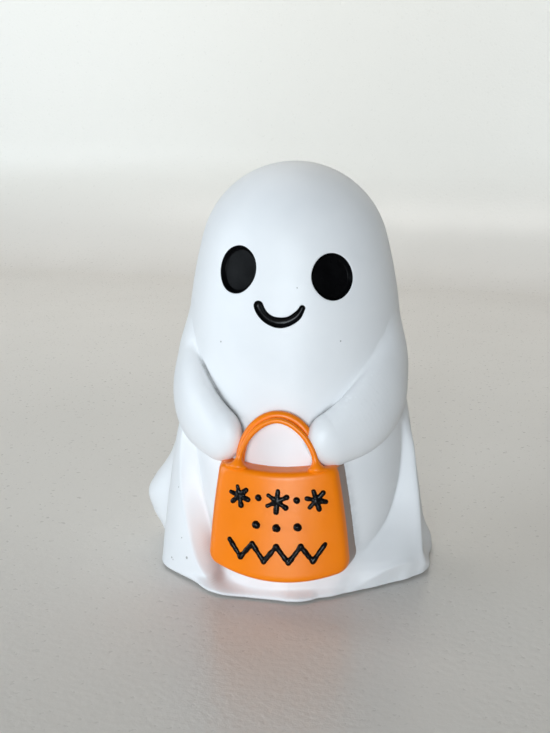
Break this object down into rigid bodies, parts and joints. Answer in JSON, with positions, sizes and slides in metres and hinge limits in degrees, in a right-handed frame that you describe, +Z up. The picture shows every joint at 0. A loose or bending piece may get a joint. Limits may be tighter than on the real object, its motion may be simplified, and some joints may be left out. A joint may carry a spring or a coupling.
{
  "type": "ceramic ghost figure",
  "caption": "Small standing ceramic ghost under a draped sheet, arms folded forward to hold an orange treat bag by its loop handles; a table-top autumn decoration.",
  "frame": {"origin": "middle of the figure's outline seen from above, on the surface that it stands on (the bottom of the felt dots)", "axes": "+Z up through the crown, the face and the bag look along -Y, +X is the figure's own left"},
  "size_m": [0.0906, 0.0864, 0.12],
  "materials": {
    "white_glaze": "satin white glaze over a cast body, with pinholes",
    "orange_glaze": "hand-painted orange, semi-gloss",
    "black_enamel": "gloss black enamel",
    "felt": "charcoal felt"
  },
  "bodies": {
    "root": {"body_shell": "white_glaze", "right_arm": "white_glaze", "left_arm": "white_glaze", "treat_bag": "orange_glaze", "bag_front_handle": "orange_glaze", "bag_rear_handle": "orange_glaze", "bag_marks": "black_enamel", "right_eye": "black_enamel", "left_eye": "black_enamel", "smile": "black_enamel", "felt_pads": "felt"}
  },
  "joints": []
}
